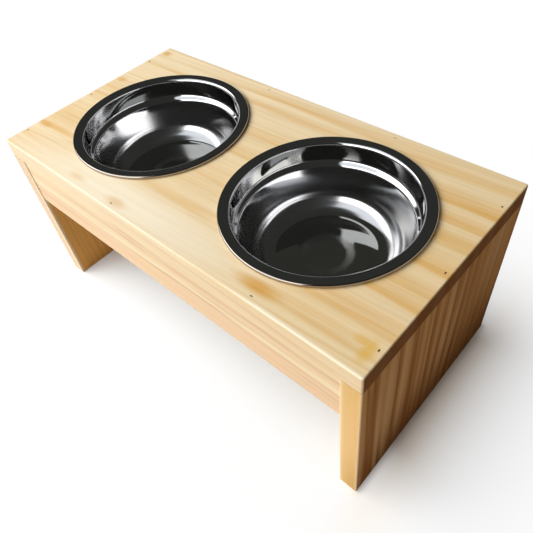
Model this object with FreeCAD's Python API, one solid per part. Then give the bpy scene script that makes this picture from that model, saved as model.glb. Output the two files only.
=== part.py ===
import FreeCAD, Part
import math
import os

# Elevated dog bowl stand: a nailed pine stand with two loose pressed steel bowls in its top.
# Millimetres. X runs along the length, Y from front to back and Z up, and the origin is on the floor
# under the middle of the stand.

# Stand
length = 400.0
depth = 204.0
height = 177.0              # floor to the upper face of the top board
top_thickness = 17.0
side_thickness = 16.5
apron_thickness = 16.5
apron_height = 49.0         # how far the aprons hang below the top board
apron_setback = 1.2         # of the aprons behind the edges of the legs
corner_round = 1.6          # upright corners of the top board
edge_round = 1.2            # sanded edges that a hand meets
seam_round = 0.4            # lower edge of the top board, where it meets the legs and aprons
foot_round = 0.8            # lower edges of the legs and aprons

# Bowls: one sheet pressed to shape, with a collar above a stacking step and a rolled rim. The rims are as
# wide as the top board has room for.
rim_gap = 27.0              # between the two rims
end_margin = 25.5           # from a rim to the end of the top board
side_margin = 21.5          # from a rim to the front and back of the top board
sheet = 0.7                 # thickness of the steel
rim_width = 9.5             # from the mouth to the outer edge of the rim
rim_height = 3.3            # crest of the rim above its underside
rim_crest_share = 0.54      # place of the crest across the rim
lip_drop = 1.1              # from the crest down to the corner over the collar
edge_drop = 0.7             # from the crest down to the corner over the outer curl
hem_width = 3.6             # length of edge turned back under the rim
collar_height = 16.7        # from the lip corner down to the step
collar_taper = 0.25
step_width = 3.6
step_drop = 3.4
bowl_depth = 54.4           # from the underside of the rim to the inside of the floor
wall_taper = 9.8            # from the ridge of the step to the foot of the wall
floor_round = 23.5
ridge_round = 4.5
step_round = 3.6
lip_round = 3.0
crest_round = 10.0
curl_round = 1.3
hem_round = 1.1
floor_panel_radius = 25.0   # shallow raised disc in the middle of the floor
floor_panel_rise = 0.3
floor_panel_slope = 9.0
seat_gap = 0.3              # between the rim and the top board
hole_clearance = 1.0        # between the collar and its hole in the top board

# Brad nails, driven down through the top board
nail_length = 38.0
nail_width = 1.25           # along the edge of the board
nail_thickness = 1.05
nail_point = 3.0
nail_head_width = 2.1
nail_head_height = 1.0
nail_sink = 0.5             # head below the surface of the board
nail_clearance = 0.03
end_row_inset = 4.2         # from the ends of the top board
long_row_inset = 5.5        # from the front and back of the top board
end_row_shares = {"front": -0.395, "middle": -0.034, "rear": 0.34}      # of the depth
front_row_shares = {"left": -0.106, "right": 0.274}                     # of the length
back_row_shares = {"left": -0.119, "right": 0.228}                      # of the length

overrun = 1.0               # how far a cutter passes the face that it cuts
near = 0.01                 # two places closer than this are the same place

# Places that several pieces share
top_underside = height - top_thickness
end_x = length / 2
front_y = -depth / 2
back_y = depth / 2
side_inner_x = end_x - side_thickness
apron_front = front_y + apron_setback
half_room_along = ((length - rim_gap) / 2 - end_margin) / 2
half_room_across = depth / 2 - side_margin
rim_radius = min(half_room_along, half_room_across)
mouth_radius = rim_radius - rim_width       # inside of the collar at the top
bowl_x = rim_gap / 2 + half_room_along
hole_radius = mouth_radius + sheet + hole_clearance
rim_underside = height + seat_gap
along_board = FreeCAD.Vector(1, 0, 0)
across_board = FreeCAD.Vector(0, 1, 0)
up = FreeCAD.Vector(0, 0, 1)


def point(x, y, z):
    return FreeCAD.Vector(x, y, z)


def box(low, high):
    size = high - low
    return Part.makeBox(size.x, size.y, size.z, low)


def round_edges(solid, radius, chosen):
    edges = [edge for edge in solid.Edges if chosen(edge.BoundBox)]
    return solid.makeFillet(radius, edges)


def is_upright(bound):
    return bound.XLength < near and bound.YLength < near


def is_at_level(bound, z):
    return abs(bound.ZMin - z) < near and abs(bound.ZMax - z) < near


# A path of straight runs, with an arc of the given radius at each inner corner, or a plain corner where
# the radius is zero. An arc is never longer than the runs beside it allow.
def rounded_path(corners, radii):
    edges = []
    start = corners[0]
    for before, corner, after, radius in zip(corners, corners[1:], corners[2:], radii):
        back = (before - corner).normalize()
        ahead = (after - corner).normalize()
        half_turn = (math.pi - back.getAngle(ahead)) / 2
        room = min((before - corner).Length, (after - corner).Length) / 2
        reach = min(radius * math.tan(half_turn), room)
        first = corner + back * reach
        last = corner + ahead * reach
        if (first - start).Length > near:
            edges.append(Part.makeLine(start, first))
        if reach > 0:
            # the middle of the arc lies on the line that halves the corner
            inward = (back + ahead).normalize()
            gap = reach / math.cos(half_turn) / math.tan(half_turn) * (1 - math.cos(half_turn))
            edges.append(Part.Arc(first, corner + inward * gap, last).toShape())
        start = last
    edges.append(Part.makeLine(start, corners[-1]))
    return edges


# The same corners moved sideways by the thickness of the sheet, and the radii that keep it even. A bend
# that would be tighter than the sheet is thick becomes a plain corner.
def offset_path(corners, radii, distance):
    sides = []
    for a, b in zip(corners, corners[1:]):
        run = (b - a).normalize()
        sides.append(point(run.z, 0, -run.x) * distance)
    moved = [corners[0] + sides[0]]
    moved_radii = []
    for corner, before, after, radius in zip(corners[1:], sides, sides[1:], radii):
        across = before + after
        moved.append(corner + across * (2 * distance ** 2 / across.Length ** 2))
        turns_left = before.cross(after).y < 0
        moved_radius = radius + distance if turns_left else radius - distance
        moved_radii.append(moved_radius if radius > 0 and moved_radius > distance else 0)
    moved.append(corners[-1] + sides[-1])
    return moved, moved_radii


# Section of the bowl from its axis to the end of the hem, on the side that holds the food.
def bowl_section():
    collar_foot = rim_height - lip_drop - collar_height
    ridge_radius = mouth_radius - collar_taper - step_width
    stations = [
        (0, floor_panel_rise - bowl_depth, 0),
        (floor_panel_radius - floor_panel_slope, floor_panel_rise - bowl_depth, 0),
        (floor_panel_radius, -bowl_depth, 0),
        (ridge_radius - wall_taper, -bowl_depth, floor_round),
        (ridge_radius, collar_foot - step_drop, ridge_round),
        (mouth_radius - collar_taper, collar_foot, step_round),
        (mouth_radius, rim_height - lip_drop, lip_round),
        (mouth_radius + rim_width * rim_crest_share, rim_height, crest_round),
        (rim_radius, rim_height - edge_drop, curl_round),
        (rim_radius, 0, hem_round),
        (rim_radius - hem_width, 0, 0),
    ]
    corners = [point(radius, 0, z) for radius, z, _ in stations]
    radii = [rounding for _, _, rounding in stations[1:-1]]
    return corners, radii


def make_bowl(x):
    corners, radii = bowl_section()
    under_corners, under_radii = offset_path(corners, radii, sheet)
    inside = rounded_path(corners, radii)
    under = rounded_path(under_corners, under_radii)
    hem_end = Part.makeLine(corners[-1], under_corners[-1])
    axis = Part.makeLine(under_corners[0], corners[0])
    outline = Part.Wire(Part.__sortEdges__(inside + [hem_end] + under + [axis]))
    bowl = Part.Face(outline).revolve(point(0, 0, 0), up, 360)
    bowl.translate(point(x, 0, rim_underside))
    return bowl


# Where each nail goes, and the direction of the edge that it runs along.
def nail_places():
    places = {}
    for side, sign in (("left", -1), ("right", 1)):
        x = sign * (end_x - end_row_inset)
        for name, share in end_row_shares.items():
            places[f"{side}_{name}"] = (point(x, depth * share, 0), across_board)
    for name, share in front_row_shares.items():
        places[f"front_{name}"] = (point(length * share, front_y + long_row_inset, 0), along_board)
    for name, share in back_row_shares.items():
        places[f"back_{name}"] = (point(length * share, back_y - long_row_inset, 0), along_board)
    return places


# A nail is one outline, head, shank and point, as thick as its flat wire. The hole that it leaves is the
# same outline with room to spare, open to the surface of the board.
def flat_nail(place, edge, head_top, spare):
    head = nail_head_width / 2 + spare
    shank = nail_width / 2 + spare
    head_foot = height - nail_sink - nail_head_height - spare
    tip = height - nail_sink - nail_length - spare
    right = [(head, head_top), (head, head_foot), (shank, head_foot), (shank, tip + nail_point)]
    left = [(-x, z) for x, z in reversed(right)]
    thickness = edge.cross(up) * (nail_thickness + 2 * spare)
    corners = [place + edge * x + up * z - thickness / 2 for x, z in right + [(0, tip)] + left]
    return Part.Face(Part.makePolygon(corners + corners[:1])).extrude(thickness)


def make_nail(place, edge):
    return flat_nail(place, edge, height - nail_sink, 0)


def make_nail_hole(place, edge):
    return flat_nail(place, edge, height + overrun, nail_clearance)


def make_bowl_hole(x):
    reach = top_thickness + 2 * overrun
    return Part.makeCylinder(hole_radius, reach, point(x, 0, top_underside - overrun), up)


def make_top_board():
    board = box(point(-end_x, front_y, top_underside), point(end_x, back_y, height))
    board = round_edges(board, corner_round, is_upright)
    board = round_edges(board, edge_round, lambda bound: is_at_level(bound, height))
    board = round_edges(board, seam_round, lambda bound: is_at_level(bound, top_underside))
    return board.cut([make_bowl_hole(-bowl_x), make_bowl_hole(bowl_x)])


def make_side_panel(low_x, high_x):
    panel = box(point(low_x, front_y, 0), point(high_x, back_y, top_underside))
    panel = round_edges(panel, edge_round, is_upright)
    return round_edges(panel, foot_round, lambda bound: is_at_level(bound, 0))


def make_apron(low_y, high_y):
    foot = top_underside - apron_height
    apron = box(point(-side_inner_x, low_y, foot), point(side_inner_x, high_y, top_underside))
    return round_edges(apron, foot_round, lambda bound: is_at_level(bound, foot) and bound.YLength < near)


places = nail_places()
nail_holes = [make_nail_hole(place, edge) for place, edge in places.values()]

boards = {
    "top_board": make_top_board(),
    "left_side_panel": make_side_panel(-end_x, -side_inner_x),
    "right_side_panel": make_side_panel(side_inner_x, end_x),
    "front_apron": make_apron(apron_front, apron_front + apron_thickness),
    "back_apron": make_apron(-apron_front - apron_thickness, -apron_front),
}
pieces = {name: board.cut(nail_holes) for name, board in boards.items()}
pieces["left_bowl"] = make_bowl(-bowl_x)
pieces["right_bowl"] = make_bowl(bowl_x)
for name, (place, edge) in places.items():
    pieces[f"nail_{name}"] = make_nail(place, edge)

os.makedirs("parts", exist_ok=True)
for name, shape in pieces.items():
    solid = shape.Solids[0]
    solid.exportStep(f"parts/{name}.step")
    print(name, "volume", round(solid.Volume), "valid", solid.isValid(), "solids", len(shape.Solids))
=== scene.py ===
import math

import bmesh
import bpy
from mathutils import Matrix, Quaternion, Vector


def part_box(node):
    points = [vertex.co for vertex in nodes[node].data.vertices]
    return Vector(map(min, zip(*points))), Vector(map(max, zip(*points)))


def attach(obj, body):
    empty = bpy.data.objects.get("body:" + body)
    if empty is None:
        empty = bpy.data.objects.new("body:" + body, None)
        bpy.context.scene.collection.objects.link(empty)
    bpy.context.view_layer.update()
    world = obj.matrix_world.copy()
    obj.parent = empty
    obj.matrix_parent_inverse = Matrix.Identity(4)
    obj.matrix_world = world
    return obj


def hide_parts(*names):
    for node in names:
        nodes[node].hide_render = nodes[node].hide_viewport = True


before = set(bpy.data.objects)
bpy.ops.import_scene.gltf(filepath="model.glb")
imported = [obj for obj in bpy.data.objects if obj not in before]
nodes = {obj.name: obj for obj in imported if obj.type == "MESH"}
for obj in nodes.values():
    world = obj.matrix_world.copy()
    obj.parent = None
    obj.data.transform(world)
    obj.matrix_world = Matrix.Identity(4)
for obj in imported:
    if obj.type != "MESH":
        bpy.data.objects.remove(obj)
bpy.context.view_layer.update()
millimetre = 0.001
print("frame loaded,", len(nodes), "nodes")


# helpers for node trees: a value can be a number, a colour or another node's socket
def plug(tree, socket, value):
    if isinstance(value, bpy.types.NodeSocket):
        tree.links.new(value, socket)
    else:
        socket.default_value = value


def addNode(tree, kind, inputs=None, **settings):
    node = tree.nodes.new(kind)
    for key, value in settings.items():
        setattr(node, key, value)
    for key, value in (inputs or {}).items():
        plug(tree, node.inputs[key], value)
    return node


def doMath(tree, operation, *values):
    node = addNode(tree, "ShaderNodeMath", dict(enumerate(values)), operation=operation)
    return node.outputs[0]


def doVector(tree, operation, *values):
    node = addNode(tree, "ShaderNodeVectorMath", dict(enumerate(values)), operation=operation)
    return node.outputs["Value" if operation == "LENGTH" else "Vector"]


def times(tree, first, second):
    return doMath(tree, "MULTIPLY", first, second)


def larger(tree, first, second):
    return doMath(tree, "MAXIMUM", first, second)


def split(tree, vector):
    return addNode(tree, "ShaderNodeSeparateXYZ", {0: vector}).outputs


def scaleColour(tree, colour, amount):
    node = addNode(tree, "ShaderNodeVectorMath", {"Vector": colour, "Scale": amount}, operation="SCALE")
    return node.outputs["Vector"]


# a soft step: low up to the start, high from the end on
def ease(tree, value, start, end, low=0.0, high=1.0):
    node = addNode(tree, "ShaderNodeMapRange", dict(enumerate((value, start, end, low, high))),
                   interpolation_type="SMOOTHSTEP")
    return node.outputs[0]


def between(tree, share, low, high):
    return ease(tree, share, 0.0, 1.0, low, high)


# the sockets of a Mix node that carry colours are numbers 6, 7 and 2
def mixColour(tree, share, first, second, blend="MIX"):
    node = addNode(tree, "ShaderNodeMix", {0: share, 6: first, 7: second},
                   data_type="RGBA", blend_type=blend)
    return node.outputs[2]


def noise(tree, place, scale, detail=2.0, roughness=0.5):
    stretched = doVector(tree, "MULTIPLY", place, scale)
    node = addNode(tree, "ShaderNodeTexNoise", {"Vector": stretched, "Scale": 1.0, "Detail": detail,
                                                "Roughness": roughness})
    return node.outputs


def lineNoise(tree, place, detail=1.0):
    node = addNode(tree, "ShaderNodeTexNoise", {"W": place, "Scale": 1.0, "Detail": detail},
                   noise_dimensions="1D")
    return node.outputs[0]


# one for what the camera, metal and glass look at, zero for light on matt surfaces
def straightRay(tree):
    path = addNode(tree, "ShaderNodeLightPath").outputs
    mirrored = larger(tree, path["Is Glossy Ray"], path["Is Transmission Ray"])
    return larger(tree, path["Is Camera Ray"], mirrored)


def freshMaterial(name):
    material = bpy.data.materials.new(name)
    material.use_nodes = True
    tree = material.node_tree
    tree.nodes.clear()
    shader = addNode(tree, "ShaderNodeBsdfPrincipled")
    output = addNode(tree, "ShaderNodeOutputMaterial")
    tree.links.new(shader.outputs[0], output.inputs["Surface"])
    return material, tree, shader


def dress(nodeName, material):
    slots = nodes[nodeName].data.materials
    slots.clear()
    slots.append(material)


# camera where the photograph was taken from, tipped a little to one side as it was
photoCamera = {
    "eye": (0.28020, -0.23063, 0.44342),
    "aim": (0.04854, -0.02612, 0.10000),
    "roll": -8.68,              # degrees
    "lens": 36.124,
    "sensor": 36.0,
    "farthest": 60.0,
}


def setCamera(look):
    data = bpy.data.cameras.new("photoCamera")
    data.lens = look["lens"]
    data.sensor_width = look["sensor"]
    data.clip_end = look["farthest"]
    camera = bpy.data.objects.new("photoCamera", data)
    bpy.context.scene.collection.objects.link(camera)
    ahead = (Vector(look["aim"]) - Vector(look["eye"])).normalized()
    camera.location = look["eye"]
    camera.rotation_mode = "QUATERNION"
    tip = Quaternion((0, 0, 1), math.radians(look["roll"]))
    camera.rotation_quaternion = ahead.to_track_quat("-Z", "Y") @ tip
    bpy.context.scene.camera = camera


setCamera(photoCamera)
bpy.context.scene.view_settings.view_transform = "Standard"
print("camera set")


# a dim room with one wide window at the front left and a pale backdrop low on the right: angles are in
# degrees
room = {
    "windowTurn": -126.0,                       # from +X, seen from above
    "windowHalfWidth": 52.0,
    "windowLow": 17.0,                          # above the horizon
    "windowSplit": 41.5,                        # where the clear panes end and the veiled ones start
    "windowHigh": 68.0,
    "windowSoft": 3.0,
    "clearPane": (4.00, 4.00, 4.00, 1.0),
    "veiledPane": (1.22, 1.27, 1.35, 1.0),
    "shade": (0.06, 0.057, 0.054, 1.0),         # what the walls throw on matt surfaces
    "ceiling": (0.041, 0.043, 0.039, 1.0),      # what the steel mirrors above the backdrop
    "horizonTop": (1.0, 8.0),                   # the pale strip all round fades between these
    "backdropTurn": 35.0,
    "backdropHalfWidth": 50.0,
    "backdropTop": (7.0, 19.0),
    "backdrop": (1.0, 1.0, 1.0, 1.0),
}


def setRoom(look):
    world = bpy.data.worlds.new("room")
    bpy.context.scene.world = world
    world.use_nodes = True
    tree = world.node_tree
    tree.nodes.clear()
    soft = look["windowSoft"]
    toward = addNode(tree, "ShaderNodeTexCoord").outputs["Generated"]
    turned = addNode(tree, "ShaderNodeVectorRotate", {"Vector": toward, "Axis": (0, 0, 1),
                                                      "Angle": math.radians(-look["windowTurn"])},
                     rotation_type="AXIS_ANGLE").outputs[0]
    ahead, aside, up = split(tree, turned)
    bearing = doMath(tree, "ARCTAN2", aside, ahead)
    rise = doMath(tree, "ARCSINE", up)

    def edge(value, start, end):
        return ease(tree, value, math.radians(start), math.radians(end))

    def under(value, limit):
        return edge(value, limit + soft, limit - soft)

    def over(value, limit):
        return edge(value, limit - soft, limit + soft)

    across = under(doMath(tree, "ABSOLUTE", bearing), look["windowHalfWidth"])
    upright = times(tree, over(rise, look["windowLow"]), under(rise, look["windowHigh"]))
    pane = times(tree, across, upright)
    light = mixColour(tree, over(rise, look["windowSplit"]), look["clearPane"], look["veiledPane"])

    backdropTurn = math.radians(look["backdropTurn"] - look["windowTurn"])
    off = doMath(tree, "WRAP", doMath(tree, "SUBTRACT", bearing, backdropTurn), math.pi, -math.pi)
    facing = under(doMath(tree, "ABSOLUTE", off), look["backdropHalfWidth"])
    backdropFull, backdropGone = look["backdropTop"]
    horizonFull, horizonGone = look["horizonTop"]
    sheet = times(tree, facing, edge(rise, backdropGone, backdropFull))
    pale = larger(tree, edge(rise, horizonGone, horizonFull), sheet)

    mirrored = mixColour(tree, pale, look["ceiling"], look["backdrop"])
    around = mixColour(tree, straightRay(tree), look["shade"], mirrored)
    colour = mixColour(tree, pane, around, light)
    seen = addNode(tree, "ShaderNodeLightPath").outputs["Is Camera Ray"]
    colour = mixColour(tree, seen, colour, look["backdrop"])
    background = addNode(tree, "ShaderNodeBackground", {"Color": colour, "Strength": 1.0})
    output = addNode(tree, "ShaderNodeOutputWorld")
    tree.links.new(background.outputs[0], output.inputs["Surface"])


# a soft lamp close to the left end, so that the light falls off along the stand
nearLamp = {
    "place": (-0.68, -0.42, 0.88),
    "aim": (-0.10, 0.0, 0.16),
    "size": 0.9,
    "power": 8.6,
}


def setLamp(look):
    data = bpy.data.lights.new("nearLamp", "AREA")
    data.shape = "DISK"
    data.size = look["size"]
    data.energy = look["power"]
    lamp = bpy.data.objects.new("nearLamp", data)
    bpy.context.scene.collection.objects.link(lamp)
    lamp.location = look["place"]
    lamp.rotation_mode = "QUATERNION"
    lamp.rotation_quaternion = (Vector(look["aim"]) - Vector(look["place"])).to_track_quat("-Z", "Y")
    lamp.visible_glossy = False
    lamp.visible_camera = False


setRoom(room)
setLamp(nearLamp)
print("room lit")


# a white sheet that clears to plain white away from the stand and keeps its shadow close by, with a
# painted warm bounce in that shadow beside the right end
floorSheet = {
    "reach": 18.0,
    "drop": 0.0002,
    "seen": (0.935, 0.955, 0.955, 1.0),
    # painted bounce: the floor's shadow beside the right end is seen tinted warm, as if lit by the wood
    "paintedBounceSeen": (0.93, 0.740, 0.500, 1.0),
    "bounce": (0.80, 0.78, 0.74, 1.0),          # under the stand and on the window's side
    "darkBounce": (0.57, 0.445, 0.335, 1.0),    # on the side away from the window
    "darkFrom": (0.185, 0.215),                 # where that side starts, along the length
    "paintedBounceSeenTo": (0.260, 0.205),               # where its seen tone has cleared, and where it is full
    "cloudScale": (9.0, 9.0, 9.0),
    "cloudDetail": 3.0,
    "cloudSpread": (0.3, 0.7),
    "cloudTone": (0.99, 1.0),
    "dull": (0.55, 0.70),
    "sheen": 0.1,
    "standHalf": (0.200, 0.102, 0.0),
    "contactReach": 0.006,                      # a darker line close to the feet
    "contactClear": 0.4,
    "shadeCentre": (0.0, 0.020, 0.0),           # the dark of the shadow stays off the corners
    "shadeHalf": (0.200, 0.065, 0.0),
    "clearIn": 0.050,
}


def makeFloor(look):
    mesh = bpy.data.meshes.new("floorSheet")
    reach, level = look["reach"], -look["drop"]
    signs = [(-1, -1), (1, -1), (1, 1), (-1, 1)]
    corners = [(x * reach, y * reach, level) for x, y in signs]
    mesh.from_pydata(corners, [], [(0, 1, 2, 3)])
    sheet = bpy.data.objects.new("floorSheet", mesh)
    bpy.context.scene.collection.objects.link(sheet)
    material, tree, shader = freshMaterial("paleFloor")
    place = addNode(tree, "ShaderNodeTexCoord").outputs["Object"]
    cloud = noise(tree, place, look["cloudScale"], look["cloudDetail"])[0]
    straight = straightRay(tree)

    along = split(tree, place)[0]
    side = ease(tree, along, *look["darkFrom"])
    close = ease(tree, along, *look["paintedBounceSeenTo"])
    bounce = mixColour(tree, side, look["bounce"], look["darkBounce"])
    # painted bounce: the warm tint seen in the floor's shadow beside the right end
    seen = mixColour(tree, times(tree, side, close), look["seen"], look["paintedBounceSeen"])
    tone = ease(tree, cloud, *look["cloudSpread"], *look["cloudTone"])
    colour = scaleColour(tree, mixColour(tree, straight, bounce, seen), tone)
    plug(tree, shader.inputs["Base Color"], colour)
    plug(tree, shader.inputs["Roughness"], ease(tree, cloud, *look["cloudSpread"], *look["dull"]))
    shader.inputs["Specular IOR Level"].default_value = look["sheen"]

    # how far a point of the floor lies outside an upright box
    def awayFrom(centre, half):
        outside = doVector(tree, "ABSOLUTE", doVector(tree, "SUBTRACT", place, centre))
        outside = doVector(tree, "MAXIMUM", doVector(tree, "SUBTRACT", outside, half), (0, 0, 0))
        return doVector(tree, "LENGTH", doVector(tree, "MULTIPLY", outside, (1.0, 1.0, 0.0)))

    away = awayFrom(look["shadeCentre"], look["shadeHalf"])
    shadeLeft = doMath(tree, "EXPONENT", doMath(tree, "DIVIDE", away, -look["clearIn"]))
    fromStand = awayFrom((0, 0, 0), look["standHalf"])
    contact = ease(tree, fromStand, 0.0, look["contactReach"], look["contactClear"], 1.0)
    clear = times(tree, doMath(tree, "SUBTRACT", 1.0, shadeLeft), contact)
    plain = addNode(tree, "ShaderNodeEmission", {"Color": (1.0, 1.0, 1.0, 1.0), "Strength": 1.0})
    blend = addNode(tree, "ShaderNodeMixShader", {0: times(tree, clear, straight), 1: shader.outputs[0],
                                                  2: plain.outputs[0]})
    output = next(node for node in tree.nodes if node.type == "OUTPUT_MATERIAL")
    tree.links.new(blend.outputs[0], output.inputs["Surface"])
    mesh.materials.append(material)


makeFloor(floorSheet)
print("floor laid")


# what all the boards share: each pair says where a pattern is nil and where it is full
pineGrain = {
    "unevenRings": 1.4,
    "lateComes": (0.15, 0.72),      # shares of a ring's width
    "lateGoes": (1.0, 0.76),
    "ringStep": 0.73,               # gives every ring a strength of its own
    "ringSpread": (0.3, 0.7),
    "faintRing": 0.35,
    "fadeSpread": (0.32, 0.62),
    "streakSpread": (0.35, 0.75),
    "streakDetail": 3.0,
    "lineSpread": (0.52, 0.70),
    "lineDetail": (3.0, 0.55),      # detail and roughness of the noise
    "fibreSpread": (0.25, 0.75),
    "fibreDetail": (3.0, 0.6),
    "warmSpread": (0.38, 0.68),
    "bandBack": (1.0, -0.6),        # a band is soft behind and sharp in front
    "bandFront": (-1.0, -0.55),
    "bandLength": (1.0, 0.25),
    "bandLines": (0.36, 0.60),
    "bandFaint": 0.55,
    "stainEdge": (1.0, 0.1),
    "stainLines": (0.38, 0.58),
    "edgeFacing": (0.7, 0.95),      # how squarely a face looks along an axis
    "endFacing": (0.85, 0.99),
    "endSides": (-0.5, 0.5),
    "polishSpread": (0.2, 0.8),
    "fibreRelief": 0.6,
    "ringRelief": 0.4,
    "bump": 0.16,
    "bumpDepth": 0.0005,
}


# dark late wood in rings round the pith, uneven in width and strength, with fine streaks between
def growthRings(tree, wavy, look, grain):
    fromPith = doVector(tree, "MULTIPLY", doVector(tree, "SUBTRACT", wavy, look["pith"]), (0.0, 1.0, 1.0))
    ring = doMath(tree, "DIVIDE", doVector(tree, "LENGTH", fromPith), look["ringWidth"])
    uneven = times(tree, doMath(tree, "SUBTRACT", lineNoise(tree, ring), 0.5), grain["unevenRings"])
    ring = doMath(tree, "ADD", ring, uneven)
    within = doMath(tree, "FRACT", ring)
    late = times(tree, ease(tree, within, *grain["lateComes"]), ease(tree, within, *grain["lateGoes"]))
    which = lineNoise(tree, times(tree, doMath(tree, "FLOOR", ring), grain["ringStep"]))
    late = times(tree, late, ease(tree, which, *grain["ringSpread"], grain["faintRing"], 1.0))
    fade = noise(tree, wavy, look["fadeScale"])[0]
    late = times(tree, late, ease(tree, fade, *grain["fadeSpread"], look["fade"], 1.0))
    streak = lineNoise(tree, times(tree, ring, look["streaks"]), grain["streakDetail"])
    streak = ease(tree, streak, *grain["streakSpread"], 0.0, look["streakDepth"])
    return doMath(tree, "ADD", times(tree, late, look["ringDepth"]), streak)


# each band has a middle, half a length, half a width and a strength
def goldenBands(tree, swayed, thin, bands, grain):
    most = 0.0
    for x, y, halfLength, halfWidth, strength in bands:
        away = doVector(tree, "SUBTRACT", swayed, (x, y, 0.0))
        away = split(tree, doVector(tree, "DIVIDE", away, (halfLength, halfWidth, 1.0)))
        back = ease(tree, away[1], *grain["bandBack"])
        front = ease(tree, away[1], *grain["bandFront"])
        along = ease(tree, doMath(tree, "ABSOLUTE", away[0]), *grain["bandLength"], 0.0, strength)
        most = larger(tree, most, times(tree, times(tree, back, front), along))
    return times(tree, most, ease(tree, thin, *grain["bandLines"], grain["bandFaint"], 1.0))


# each spot has a middle, its half sizes and a strength, and whole is what shows between the fine lines
def stainAndLightSpots(tree, swayed, thin, whole, spots, grain):
    most = 0.0
    for centre, size, strength in spots:
        away = doVector(tree, "DIVIDE", doVector(tree, "SUBTRACT", swayed, centre), size)
        spot = ease(tree, doVector(tree, "LENGTH", away), *grain["stainEdge"], 0.0, strength)
        most = larger(tree, most, spot)
    return times(tree, most, ease(tree, thin, *grain["stainLines"], whole, 1.0))


# pine: growth rings, fine lines and fibres, then drifts of tone (some of them painted shade), golden
# bands, stains and painted highlights, and end grain
def makePine(name, look, grain):
    material, tree, shader = freshMaterial(name)
    coords = addNode(tree, "ShaderNodeTexCoord").outputs
    place = addNode(tree, "ShaderNodeMapping", {
        "Vector": coords["Object"],
        "Location": look["shift"],
        "Rotation": [math.radians(angle) for angle in look["turn"]],
    }).outputs[0]
    sway = doVector(tree, "SUBTRACT", noise(tree, place, look["swayScale"])[1], (0.5, 0.5, 0.5))
    sway = doVector(tree, "MULTIPLY", sway, (0.0, look["sway"], look["sway"]))
    wavy = doVector(tree, "ADD", place, sway)
    swayed = doVector(tree, "ADD", coords["Object"], sway)

    late = growthRings(tree, wavy, look, grain)
    thin = noise(tree, wavy, look["lineScale"], *grain["lineDetail"])[0]
    line = times(tree, ease(tree, thin, *grain["lineSpread"]), look["lineDepth"])
    fibre = noise(tree, place, look["fibreScale"], *grain["fibreDetail"])[0]
    broad = noise(tree, wavy, look["broadScale"])[0]
    warmth = times(tree, ease(tree, broad, *grain["warmSpread"]), look["warmth"])

    colour = mixColour(tree, late, look["early"], look["late"])
    colour = mixColour(tree, warmth, colour, look["warm"])
    colour = mixColour(tree, line, colour, look["lineTone"])
    spans = split(tree, swayed)
    for axis, start, end, share, tone in look["drifts"]:
        colour = mixColour(tree, ease(tree, spans[axis], start, end, 0.0, share), colour, tone)
    fibreTone = ease(tree, fibre, *grain["fibreSpread"], 1.0 - look["fibre"], 1.0 + look["fibre"])
    colour = scaleColour(tree, colour, fibreTone)

    facing = split(tree, coords["Normal"])
    if look["edge"]:
        axis, share, tone = look["edge"]
        onEdge = ease(tree, doMath(tree, "ABSOLUTE", facing[axis]), *grain["edgeFacing"], 0.0, share)
        colour = mixColour(tree, onEdge, colour, tone)
    if look["bands"]:
        bands = goldenBands(tree, swayed, thin, look["bands"], grain)
        colour = mixColour(tree, bands, colour, look["golden"])
    for tone, whole, spots in look["stainsAndPaintedLight"]:
        stainAndLight = stainAndLightSpots(tree, swayed, thin, whole, spots, grain)
        colour = mixColour(tree, stainAndLight, colour, tone)

    # end grain is darker than the face; where the two ends take different tints, the darker one is
    # painted shade
    toEnd = facing[look["endAxis"]]
    end = ease(tree, doMath(tree, "ABSOLUTE", toEnd), *grain["endFacing"])
    endTint = mixColour(tree, ease(tree, toEnd, *grain["endSides"]), *look["endTints"])
    colour = mixColour(tree, end, colour, endTint, "MULTIPLY")
    plug(tree, shader.inputs["Base Color"], colour)

    fibreRelief = times(tree, fibre, grain["fibreRelief"])
    relief = doMath(tree, "ADD", fibreRelief, times(tree, late, grain["ringRelief"]))
    bump = addNode(tree, "ShaderNodeBump", {"Strength": grain["bump"], "Distance": grain["bumpDepth"],
                                            "Height": relief})
    plug(tree, shader.inputs["Normal"], bump.outputs[0])
    polish = ease(tree, fibre, *grain["polishSpread"], *look["gloss"])
    plug(tree, shader.inputs["Roughness"], between(tree, end, polish, look["endGloss"]))
    shader.inputs["Specular IOR Level"].default_value = look["sheen"]
    return material


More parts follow.
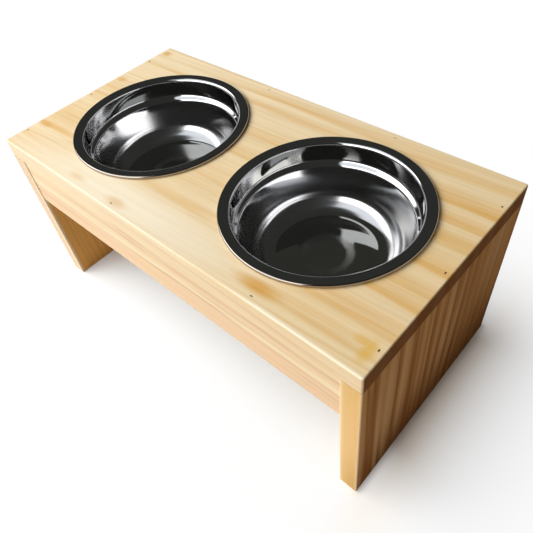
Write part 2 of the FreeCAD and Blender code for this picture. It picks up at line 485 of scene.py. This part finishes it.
topBoard = {
    "turn": (0.0, 0.6, -2.5),                   # degrees, from the board to its grain
    "shift": (0.31, 0.0, 0.0),
    "pith": (0.0, 0.42, 0.02),
    "ringWidth": 0.0225,
    "ringDepth": 0.50,
    "streaks": 5.0,
    "streakDepth": 0.30,
    "sway": 0.016,
    "swayScale": (3.4, 11.0, 11.0),
    "fibreScale": (16.0, 420.0, 420.0),
    "fibre": 0.04,
    "broadScale": (2.6, 14.0, 14.0),
    "fadeScale": (5.0, 22.0, 22.0),
    "fade": 0.35,
    "lineScale": (5.0, 260.0, 260.0),
    "lineDepth": 0.26,
    "lineTone": (0.66, 0.390, 0.150, 1.0),
    "warmth": 0.35,
    "early": (0.860, 0.708, 0.468, 1.0),
    "late": (0.69, 0.440, 0.165, 1.0),
    "warm": (0.79, 0.585, 0.310, 1.0),
    "drifts": [(0, -0.06, 0.18, 0.30, (0.76, 0.530, 0.230, 1.0))],     # axis, start, end, share and tone
    "edge": (1, 0.45, (0.74, 0.575, 0.370, 1.0)),                      # axis, share and tone
    "golden": (0.71, 0.410, 0.115, 1.0),
    "bands": [                                  # strongest at the right end
        (0.180, 0.089, 0.140, 0.010, 0.60),
        (0.185, 0.061, 0.140, 0.014, 0.95),
        (0.190, 0.039, 0.090, 0.010, 0.75),
        (0.195, 0.020, 0.070, 0.009, 0.70),
        (0.195, -0.004, 0.070, 0.012, 0.80),
        (0.195, -0.028, 0.065, 0.008, 0.50),
        (0.185, -0.041, 0.085, 0.010, 0.80),
        (0.160, -0.066, 0.110, 0.011, 0.75),
        (0.010, 0.092, 0.140, 0.009, 0.55),
        (0.000, 0.075, 0.090, 0.009, 0.50),
        (0.000, 0.040, 0.040, 0.010, 0.50),
        (0.000, 0.012, 0.040, 0.010, 0.45),
        (0.000, -0.024, 0.040, 0.010, 0.45),
        (-0.010, -0.058, 0.080, 0.010, 0.50),
        (-0.190, 0.015, 0.040, 0.009, 0.45),
        (-0.190, -0.005, 0.040, 0.009, 0.45),
        (-0.190, -0.036, 0.050, 0.009, 0.45),
        (-0.185, -0.057, 0.070, 0.009, 0.65),
        (-0.170, -0.080, 0.070, 0.008, 0.45),
        (0.150, -0.0865, 0.065, 0.008, 0.45),
    ],
    "stainsAndPaintedLight": [
        ((0.92, 0.825, 0.640, 1.0), 0.8, [      # pale sapwood along the front
            ((-0.040, -0.088, 0.177), (0.200, 0.030, 0.010), 0.90),
        ]),
        ((0.66, 0.340, 0.060, 1.0), 0.8, [      # resin streaks and small knots
            ((-0.189, -0.063, 0.177), (0.014, 0.005, 0.012), 0.55),
            ((-0.192, 0.028, 0.177), (0.010, 0.007, 0.012), 0.60),
            ((-0.192, 0.089, 0.177), (0.009, 0.006, 0.012), 0.85),
            ((-0.095, -0.093, 0.177), (0.016, 0.005, 0.012), 0.35),
            ((-0.040, -0.094, 0.177), (0.018, 0.007, 0.012), 0.50),
            ((0.108, -0.090, 0.177), (0.028, 0.008, 0.012), 1.00),
        ]),
        # painted highlight: a pale line along the rounded front arris, where the edge catches the light
        ((0.98, 0.900, 0.740, 1.0), 1.0, [      # front arris: a painted highlight along the rounded edge
            ((0.0, -0.1020, 0.1770), (0.40, 0.0024, 0.0024), 0.80),
        ]),
        ((0.66, 0.430, 0.235, 1.0), 0.8, [      # grain lines on the front edge
            ((0.090, -0.102, 0.1665), (0.170, 0.004, 0.0024), 0.75),
            ((0.120, -0.102, 0.1628), (0.120, 0.004, 0.0017), 0.45),
        ]),
        ((0.75, 0.460, 0.110, 1.0), 0.8, [      # golden patch by the front right corner
            ((0.191, -0.087, 0.177), (0.007, 0.014, 0.012), 1.00),
            ((0.186, -0.083, 0.177), (0.012, 0.006, 0.012), 0.80),
        ]),
    ],
    "endAxis": 0,
    # end grain is darker than the face; the high end, on the shaded side, is darker still as painted
    # shade
    "endTints": ((0.62, 0.470, 0.340, 1.0), (0.37, 0.215, 0.115, 1.0)),    # low end and high end
    "gloss": (0.38, 0.50),
    "endGloss": 0.95,
    "sheen": 0.20,
}

# the other boards give only what differs from the board before
frontApron = dict(topBoard, **{
    "turn": (0.0, 0.4, 1.0),
    "shift": (1.10, 0.07, 0.0),
    "pith": (0.0, 0.02, 0.60),
    "ringWidth": 0.021,
    "ringDepth": 0.55,
    "lineScale": (3.0, 190.0, 190.0),
    "lineDepth": 0.75,
    "lineTone": (0.60, 0.355, 0.195, 1.0),
    "warmth": 0.4,
    "early": (0.83, 0.685, 0.440, 1.0),
    "late": (0.72, 0.480, 0.255, 1.0),
    "warm": (0.80, 0.590, 0.340, 1.0),
    "drifts": [(2, 0.1385, 0.1335, 0.65, (0.745, 0.475, 0.270, 1.0))],     # darker in the lower half
    "edge": None,
    "bands": [],
    "stainsAndPaintedLight": [
        ((0.60, 0.360, 0.195, 1.0), 0.7, [      # dark grain lines
            ((0.030, -0.101, 0.1365), (0.210, 0.004, 0.0016), 0.65),
            ((0.080, -0.101, 0.1515), (0.150, 0.004, 0.0014), 0.35),
            ((0.170, -0.101, 0.1285), (0.060, 0.004, 0.0016), 0.55),
            ((0.140, -0.101, 0.1215), (0.070, 0.004, 0.0014), 0.40),
        ]),
        ((0.80, 0.560, 0.290, 1.0), 0.9, [      # golden patch in the lower half
            ((-0.010, -0.101, 0.128), (0.035, 0.004, 0.008), 0.55),
        ]),
    ],
})

backApron = dict(frontApron, **{
    "shift": (1.85, 0.21, 0.0),
    "pith": (0.0, 0.14, 0.45),
    "drifts": [],
    "stainsAndPaintedLight": [],
})

rightPanel = dict(topBoard, **{
    "turn": (0.0, 90.5, 1.5),
    "shift": (2.4, 0.0, 0.0),
    "pith": (0.0, 0.3655, -0.05),
    "ringWidth": 0.0125,
    "ringDepth": 1.0,
    "streaks": 3.0,
    "sway": 0.006,
    "fade": 0.6,
    "lineScale": (4.0, 120.0, 120.0),
    "lineDepth": 0.5,
    "lineTone": (0.44, 0.185, 0.065, 1.0),
    "warmth": 0.45,
    "early": (0.90, 0.560, 0.260, 1.0),
    "late": (0.43, 0.185, 0.060, 1.0),
    "warm": (0.66, 0.335, 0.125, 1.0),
    "drifts": [
        # painted shade: the panel darkens towards the foot, where the floor beside it lies in shadow
        (2, 0.100, 0.0, 0.78, (0.30, 0.118, 0.030, 1.0)),       # dark towards the foot
        # the darker, redder outer face is partly painted shade; the inner face is given paler wood
        (0, 0.194, 0.186, 0.70, (0.78, 0.570, 0.330, 1.0)),     # paler on the inner face
    ],
    "edge": (1, 0.75, (0.67, 0.435, 0.145, 1.0)),
    "bands": [],
    "stainsAndPaintedLight": [
        # painted highlights on the rounded corners of the leg's front edge
        ((0.88, 0.740, 0.500, 1.0), 0.9, [      # pale corners of the leg's front edge
            ((0.1835, -0.102, 0.08), (0.0042, 0.004, 0.40), 0.60),
            ((0.2000, -0.102, 0.08), (0.0022, 0.002, 0.40), 0.90),
        ]),
        # pale grain stripes; crowded near the front, they also stand in for the light falling there, as
        # painted light
        ((0.99, 0.690, 0.380, 1.0), 0.7, [      # pale stripes, most of them near the front
            ((0.2, -0.0990, 0.08), (0.05, 0.0050, 0.15), 0.60),
            ((0.2, -0.0795, 0.08), (0.05, 0.0055, 0.15), 0.90),
            ((0.2, -0.0680, 0.10), (0.05, 0.0090, 0.14), 0.80),
            ((0.2, -0.0510, 0.11), (0.05, 0.0060, 0.12), 0.70),
            ((0.2, 0.0060, 0.12), (0.05, 0.0045, 0.10), 0.50),
            ((0.2, 0.0230, 0.12), (0.05, 0.0045, 0.10), 0.50),
            ((0.2, 0.0700, 0.15), (0.05, 0.0300, 0.09), 0.45),
        ]),
        ((0.42, 0.175, 0.065, 1.0), 0.7, [      # and dark ones between them
            ((0.2, -0.0885, 0.08), (0.05, 0.0050, 0.15), 0.60),
            ((0.2, -0.0585, 0.08), (0.05, 0.0035, 0.15), 0.70),
            ((0.2, -0.0380, 0.06), (0.05, 0.0080, 0.15), 0.50),
            ((0.2, -0.0020, 0.08), (0.05, 0.0035, 0.15), 0.70),
            ((0.2, 0.0145, 0.08), (0.05, 0.0035, 0.15), 0.55),
            ((0.2, 0.0310, 0.08), (0.05, 0.0035, 0.15), 0.55),
        ]),
    ],
    "endAxis": 2,
    "endTints": ((0.55, 0.42, 0.30, 1.0), (0.55, 0.42, 0.30, 1.0)),
    "sheen": 0.0,
})

leftPanel = dict(rightPanel, **{
    "shift": (3.3, 0.05, 0.0),
    "pith": (0.0, 0.30, 0.09),
    "ringDepth": 0.55,
    "lineDepth": 0.25,
    "early": (0.88, 0.475, 0.145, 1.0),
    "late": (0.66, 0.310, 0.075, 1.0),
    "warm": (0.80, 0.400, 0.105, 1.0),
    # the amber inner face is partly painted warm shade; the outer face is given paler wood
    "drifts": [(0, -0.188, -0.198, 0.80, (0.67, 0.525, 0.335, 1.0))],      # paler on the outer face
    "edge": (1, 0.90, (0.72, 0.555, 0.385, 1.0)),
    "stainsAndPaintedLight": [
        # painted light: the pale inner corner lifts the shade in the narrow step beside the apron
        ((0.90, 0.760, 0.560, 1.0), 1.0, [      # pale inner corner of the leg's front edge
            ((-0.1835, -0.102, 0.08), (0.004, 0.005, 0.40), 1.0),
        ]),
    ],
})

for boardName, finishName, boardLook in (
    ("top_board", "pineTopBoard", topBoard),
    ("front_apron", "pineFrontApron", frontApron),
    ("back_apron", "pineBackApron", backApron),
    ("right_side_panel", "pineRightPanel", rightPanel),
    ("left_side_panel", "pineLeftPanel", leftPanel),
):
    dress(boardName, makePine(finishName, boardLook, pineGrain))
print("boards finished in pine")


# polished steel, spun and buffed round the bowl's axis, duller on the walls, with painted brown shade on
# the outer curl of the rim, standing in for the shaded wood it mirrors: reaches are metres from the axis
polishedSteel = {
    "colour": (0.57, 0.57, 0.575, 1.0),
    "floorColour": (0.56, 0.555, 0.515, 1.0),
    "floorReach": (0.053, 0.045),
    "curlShade": (0.42, 0.365, 0.310, 1.0),
    "curlShadeReach": (0.0784, 0.0802),
    "smudgeScale": (26.0, 26.0, 26.0),
    "smudgeDetail": (4.0, 0.6),     # detail and roughness of the noise
    "toneSpread": (0.3, 0.7),
    "tone": (0.95, 1.03),
    "dullSpread": (0.35, 0.75),
    "collarDull": (0.025, 0.035),
    "wallDull": (0.140, 0.160),
    "wallDrop": (0.022, 0.032),     # below the rim, where the collar's polish ends and the wall's starts
    "floorDull": 0.025,
    "wornRing": (0.0115, 0.0270),   # where stacked bowls have rubbed the floor
    "wornDull": 0.20,
    "brushed": 0.80,                # how far the spinning blurs across its lines more than along them
    "spinLines": 900.0,
    "spinDetail": 3.0,
    "spinDull": 0.004,
    "spinBump": 0.01,
    "spinDepth": 0.0001,
}


def makeSteel(look, rimTop):
    material, tree, shader = freshMaterial("polishedSteel")
    place = addNode(tree, "ShaderNodeTexCoord").outputs["Object"]
    reach = doVector(tree, "LENGTH", doVector(tree, "MULTIPLY", place, (1.0, 1.0, 0.0)))
    height = split(tree, place)[2]
    spinPlace = times(tree, doMath(tree, "ADD", reach, height), look["spinLines"])
    spin = lineNoise(tree, spinPlace, look["spinDetail"])
    smudge = noise(tree, place, look["smudgeScale"], *look["smudgeDetail"])[0]
    onFloor = ease(tree, reach, *look["floorReach"])
    onCurl = ease(tree, reach, *look["curlShadeReach"])
    onWall = ease(tree, height, *[rimTop - drop for drop in look["wallDrop"]])

    colour = mixColour(tree, onFloor, look["colour"], look["floorColour"])
    # painted shade: the outer curl of the rim is tinted brown, as if mirroring the shaded wood
    colour = mixColour(tree, onCurl, colour, look["curlShade"])
    colour = scaleColour(tree, colour, ease(tree, smudge, *look["toneSpread"], *look["tone"]))
    plug(tree, shader.inputs["Base Color"], colour)

    collar = ease(tree, smudge, *look["dullSpread"], *look["collarDull"])
    wall = ease(tree, smudge, *look["dullSpread"], *look["wallDull"])
    dull = between(tree, onFloor, between(tree, onWall, collar, wall), look["floorDull"])
    inner, outer = look["wornRing"]
    middle = (inner + outer) / 2
    rubbed = times(tree, ease(tree, reach, inner, middle), ease(tree, reach, outer, middle))
    dull = between(tree, rubbed, dull, look["wornDull"])
    dull = doMath(tree, "ADD", dull, times(tree, spin, look["spinDull"]))
    plug(tree, shader.inputs["Roughness"], dull)

    shader.inputs["Anisotropic"].default_value = look["brushed"]
    roundAxis = addNode(tree, "ShaderNodeTangent", direction_type="RADIAL", axis="Z")
    plug(tree, shader.inputs["Tangent"], roundAxis.outputs[0])
    bump = addNode(tree, "ShaderNodeBump", {"Strength": look["spinBump"], "Distance": look["spinDepth"],
                                            "Height": spin})
    plug(tree, shader.inputs["Normal"], bump.outputs[0])
    shader.inputs["Metallic"].default_value = 1.0
    return material


# one pressed sheet: sizes in millimetres, heights from the underside of the rim
pressedBowl = {
    "sheet": 0.7,
    "rimWidth": 9.5,
    "rimHeight": 3.3,
    "crestShare": 0.54,
    "lipDrop": 1.1,
    "edgeDrop": 0.7,
    "hemWidth": 3.6,
    "collarHeight": 16.7,
    "collarTaper": 0.25,
    "stepWidth": 3.6,
    "stepDrop": 3.4,
    "depth": 54.4,
    "wallTaper": 9.8,
    "floorRound": 23.5,
    "ridgeRound": 4.5,
    "stepRound": 3.6,
    "lipRound": 3.0,
    "crestRound": 10.0,
    "curlRound": 1.3,
    "hemRound": 1.1,
    "panelRadius": 25.0,
    "panelRise": 0.3,
    "panelSlope": 9.0,
    "panelRound": 60.0,
    "around": 224,
    "arcStep": 3.0,             # degrees of turn for each short run of an arc
    "arcLeast": 2,              # runs in the shallowest arc
    "onAxis": 1e-6,             # nearer to the axis than this is on it
}


# each corner of the section from the axis to the hem: distance from the axis, height and bend
def bowlCorners(look, rim):
    mouth = rim - look["rimWidth"]
    collarFoot = look["rimHeight"] - look["lipDrop"] - look["collarHeight"]
    ridge = mouth - look["collarTaper"] - look["stepWidth"]
    panelLevel = look["panelRise"] - look["depth"]
    return [
        (0.0, panelLevel, 0.0),
        (look["panelRadius"] - look["panelSlope"], panelLevel, look["panelRound"]),
        (look["panelRadius"], -look["depth"], look["panelRound"]),
        (ridge - look["wallTaper"], -look["depth"], look["floorRound"]),
        (ridge, collarFoot - look["stepDrop"], look["ridgeRound"]),
        (mouth - look["collarTaper"], collarFoot, look["stepRound"]),
        (mouth, look["rimHeight"] - look["lipDrop"], look["lipRound"]),
        (mouth + look["rimWidth"] * look["crestShare"], look["rimHeight"], look["crestRound"]),
        (rim, look["rimHeight"] - look["edgeDrop"], look["curlRound"]),
        (rim, 0.0, look["hemRound"]),
        (rim - look["hemWidth"], 0.0, 0.0),
    ]


def swung(arm, angle):
    cosine, sine = math.cos(angle), math.sin(angle)
    return Vector((arm.x * cosine - arm.y * sine, arm.x * sine + arm.y * cosine))


# turns the corners into a line with round bends, and keeps the direction of the line at each point
def roundedLine(corners, look):
    points = [Vector((reach, level)) for reach, level, _ in corners]
    line = [(points[0], (points[1] - points[0]).normalized())]
    for before, corner, after, (_, _, bend) in zip(points, points[1:], points[2:], corners[1:]):
        runIn = (corner - before).normalized()
        runOut = (after - corner).normalized()
        turn = runIn.angle_signed(runOut)
        half = abs(turn) / 2
        room = min((corner - before).length, (after - corner).length) / 2
        reach = min(bend * math.tan(half), room)
        radius = reach / math.tan(half)
        side = Vector((runIn.y, -runIn.x)) if turn > 0 else Vector((-runIn.y, runIn.x))
        middle = corner - runIn * reach + side * radius
        steps = max(look["arcLeast"], round(math.degrees(abs(turn)) / look["arcStep"]))
        for step in range(steps + 1):
            angle = -turn * step / steps
            line.append((middle + swung(-side * radius, angle), swung(runIn, angle)))
    line.append((points[-1], (points[-1] - points[-2]).normalized()))
    return line


# the points that one point of the section leaves round the axis, or a single one on it
def addRing(sheet, point, base, look):
    level = (base + point.y) * millimetre
    if point.x < look["onAxis"]:
        return [sheet.verts.new((0.0, 0.0, level))]
    reach = point.x * millimetre
    ring = []
    for turn in range(look["around"]):
        angle = 2 * math.pi * turn / look["around"]
        ring.append(sheet.verts.new((reach * math.cos(angle), reach * math.sin(angle), level)))
    return ring


def joinRings(sheet, first, second, around):
    for turn in range(around):
        ahead = (turn + 1) % around
        if len(first) == 1:
            sheet.faces.new((first[0], second[turn], second[ahead]))
        elif len(second) == 1:
            sheet.faces.new((first[turn], second[0], first[ahead]))
        else:
            sheet.faces.new((first[turn], second[turn], second[ahead], first[ahead]))


def makeBowl(name, look, material):
    low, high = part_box(name)
    centre = (low + high) / 2
    rim = (high.x - low.x) / 2 / millimetre
    base = high.z / millimetre - look["rimHeight"]
    line = roundedLine(bowlCorners(look, rim), look)
    inside = [point for point, _ in line]
    under = [point + Vector((run.y, -run.x)) * look["sheet"] for point, run in line]
    under[0].x = 0.0

    sheet = bmesh.new()
    rings = [addRing(sheet, point, base, look) for point in inside + under[::-1]]
    for first, second in zip(rings, rings[1:]):
        joinRings(sheet, first, second, look["around"])
    bmesh.ops.recalc_face_normals(sheet, faces=sheet.faces)
    mesh = bpy.data.meshes.new(name + "Sheet")
    sheet.to_mesh(mesh)
    sheet.free()
    for face in mesh.polygons:
        face.use_smooth = True
    mesh.materials.append(material)
    bowl = bpy.data.objects.new(name + "Sheet", mesh)
    bpy.context.scene.collection.objects.link(bowl)
    bowl.location = (centre.x, centre.y, 0.0)
    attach(bowl, name)
    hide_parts(name)
    return bowl


steel = makeSteel(polishedSteel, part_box("left_bowl")[1].z)
for bowlName in ("left_bowl", "right_bowl"):
    bowl = makeBowl(bowlName, pressedBowl, steel)
    print(bowlName, "pressed,", len(bowl.data.vertices), "points")


# dull brad heads with specks of rust
bradNail = {
    "colour": (0.30, 0.225, 0.140, 1.0),
    "rust": (0.20, 0.115, 0.050, 1.0),
    "rustSpread": (0.4, 0.65),
    "speckScale": (1400.0, 1400.0, 1400.0),
    "speckDetail": 3.0,
    "dullSpread": (0.3, 0.7),
    "dull": (0.45, 0.75),
    "metal": 0.7,
}


def makeBrad(look):
    material, tree, shader = freshMaterial("dullBrad")
    place = addNode(tree, "ShaderNodeTexCoord").outputs["Object"]
    specks = noise(tree, place, look["speckScale"], look["speckDetail"])[0]
    rusty = ease(tree, specks, *look["rustSpread"])
    plug(tree, shader.inputs["Base Color"], mixColour(tree, rusty, look["colour"], look["rust"]))
    plug(tree, shader.inputs["Roughness"], ease(tree, specks, *look["dullSpread"], *look["dull"]))
    shader.inputs["Metallic"].default_value = look["metal"]
    return material


brad = makeBrad(bradNail)
for nodeName in nodes:
    if nodeName.startswith("nail_"):
        dress(nodeName, brad)
print("nails finished")
